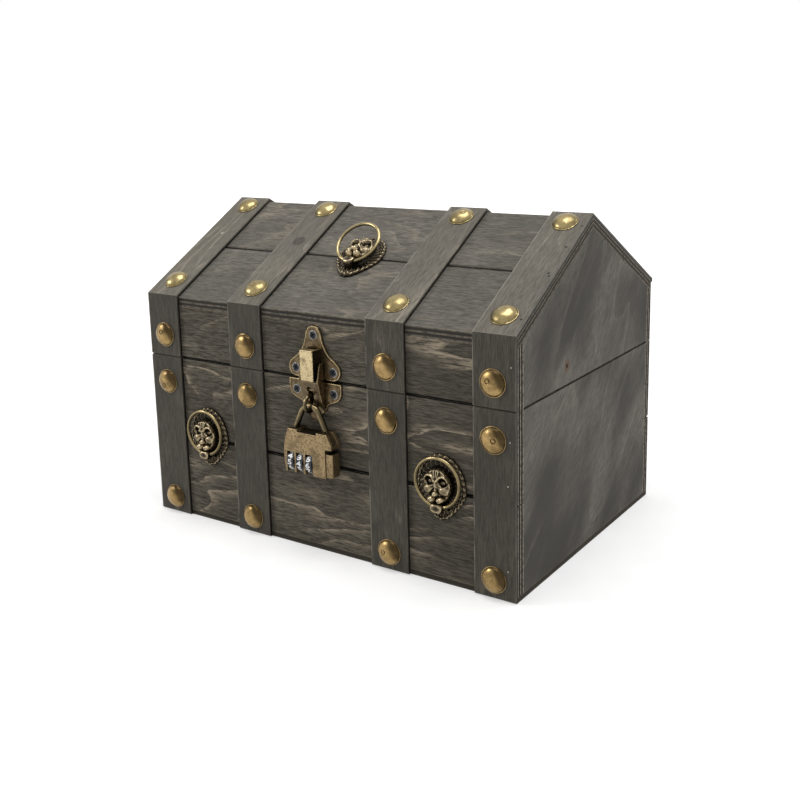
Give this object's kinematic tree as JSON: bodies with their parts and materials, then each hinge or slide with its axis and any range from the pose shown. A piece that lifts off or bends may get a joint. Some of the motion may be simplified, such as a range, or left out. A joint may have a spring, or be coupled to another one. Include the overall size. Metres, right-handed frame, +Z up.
{
  "type": "treasure chest box",
  "caption": "Small wooden keepsake chest with a gabled hinged lid, flat wooden straps, domed studs, lion-head ring pulls, a draw latch and a dial padlock.",
  "frame": {"origin": "middle of the flat underside", "axes": "+X to the right along the front, +Y to the back, +Z up"},
  "size_m": [0.24, 0.1861, 0.18],
  "materials": {
    "stained_wood": "dark stained, brushed grain",
    "strap_wood": "smooth, dark brown grey stain",
    "stud_brass": "hammered, aged",
    "antique_brass": "antique, rubbed high points",
    "padlock_bronze": "speckled antique bronze",
    "screw_steel": "black, worn rims",
    "dial_metal": "black with light digits"
  },
  "bodies": {
    "chest": {"bottom_panel": "stained_wood", "body_front_lower_plank": "stained_wood", "body_front_upper_plank": "stained_wood", "body_back_lower_plank": "stained_wood", "body_back_upper_plank": "stained_wood", "body_left_end_panel": "stained_wood", "body_right_end_panel": "stained_wood", "body_strap_far_left": "strap_wood", "body_strap_left": "strap_wood", "body_strap_right": "strap_wood", "body_strap_far_right": "strap_wood", "body_studs": "stud_brass", "lion_plate_left": "antique_brass", "lion_plate_right": "antique_brass", "lion_screws_front": "screw_steel", "latch_base_plate": "antique_brass", "latch_base_screws": "screw_steel", "latch_staple": "antique_brass", "lever_rivets": "antique_brass", "hinge_body_leaf_left": "antique_brass", "hinge_body_leaf_right": "antique_brass", "hinge_pins": "antique_brass", "hinge_body_screws": "screw_steel"},
    "lid": {"lid_front_board": "stained_wood", "lid_back_board": "stained_wood", "lid_left_end_panel": "stained_wood", "lid_right_end_panel": "stained_wood", "roof_front_lower_plank": "stained_wood", "roof_front_upper_plank": "stained_wood", "roof_back_lower_plank": "stained_wood", "roof_back_upper_plank": "stained_wood", "roof_strap_far_left": "strap_wood", "roof_strap_left": "strap_wood", "roof_strap_right": "strap_wood", "roof_strap_far_right": "strap_wood", "lid_front_straps": "strap_wood", "roof_back_straps": "strap_wood", "lid_front_studs": "stud_brass", "roof_studs": "stud_brass", "lion_plate_roof": "antique_brass", "lion_screw_roof": "screw_steel", "latch_catch_plate": "antique_brass", "latch_catch_screws": "screw_steel", "hinge_lid_leaf_left": "antique_brass", "hinge_lid_leaf_right": "antique_brass", "hinge_lid_screws": "screw_steel"},
    "lever": {"latch_lever": "antique_brass", "hook_pin": "antique_brass"},
    "hook": {"draw_hook": "antique_brass"},
    "shackle": {"padlock_shackle": "antique_brass"},
    "padlock": {"padlock_body": "padlock_bronze", "padlock_heel_pin": "padlock_bronze", "dial_axle": "screw_steel"},
    "release_slider": {"padlock_slider": "padlock_bronze"},
    "dial_wheel_1": {"dial_1": "dial_metal"},
    "dial_wheel_2": {"dial_2": "dial_metal"},
    "dial_wheel_3": {"dial_3": "dial_metal"},
    "ring_left": {"pull_ring_left": "antique_brass"},
    "ring_right": {"pull_ring_right": "antique_brass"},
    "ring_roof": {"pull_ring_roof": "antique_brass"}
  },
  "joints": [
    {"name": "lid_hinge", "type": "hinge", "parent": "chest", "child": "lid", "pos_m": [0, 0.0852, 0.09615], "axis": [-1, 0, 0], "range_deg": [0, 105]},
    {"name": "lever_pivot", "type": "hinge", "parent": "chest", "child": "lever", "pos_m": [0.001, -0.0859, 0.094], "axis": [-1, 0, 0], "range_deg": [0, 4]},
    {"name": "hook_pivot", "type": "hinge", "parent": "lever", "child": "hook", "pos_m": [0.001, -0.0864, 0.0913], "axis": [1, 0, 0], "range_deg": [0, 10]},
    {"name": "shackle_swing", "type": "hinge", "parent": "chest", "child": "shackle", "pos_m": [0.001, -0.089, 0.0828], "axis": [-1, 0, 0], "range_deg": [-0.5, 60]},
    {"name": "padlock_heel", "type": "hinge", "parent": "shackle", "child": "padlock", "pos_m": [-0.0086, -0.089, 0.0674], "axis": [0, 1, 0], "range_deg": [0, 35]},
    {"name": "release_slide", "type": "slide", "parent": "padlock", "child": "release_slider", "axis": [0, 0, -1], "range_m": [0, 0.002]},
    {"name": "dial_1_turn", "type": "hinge", "parent": "padlock", "child": "dial_wheel_1", "pos_m": [-0.0103, -0.089, 0.0517], "axis": [1, 0, 0], "continuous": true},
    {"name": "dial_2_turn", "type": "hinge", "parent": "padlock", "child": "dial_wheel_2", "pos_m": [-0.0042, -0.089, 0.0517], "axis": [1, 0, 0], "continuous": true},
    {"name": "dial_3_turn", "type": "hinge", "parent": "padlock", "child": "dial_wheel_3", "pos_m": [0.0019, -0.089, 0.0517], "axis": [1, 0, 0], "continuous": true},
    {"name": "ring_left_turn", "type": "hinge", "parent": "chest", "child": "ring_left", "pos_m": [-0.0782, -0.088, 0.0422], "axis": [1, 0, 0], "range_deg": [-5, 185]},
    {"name": "ring_right_turn", "type": "hinge", "parent": "chest", "child": "ring_right", "pos_m": [0.0782, -0.088, 0.0422], "axis": [1, 0, 0], "range_deg": [-5, 185]},
    {"name": "ring_roof_turn", "type": "hinge", "parent": "lid", "child": "ring_roof", "pos_m": [0.002, -0.05178, 0.15462], "axis": [1, 0, 0], "range_deg": [-21, 168]}
  ],
  "couplings": [
    {"joint": "hook_pivot", "follows": "lever_pivot", "ratio": 2}
  ]
}
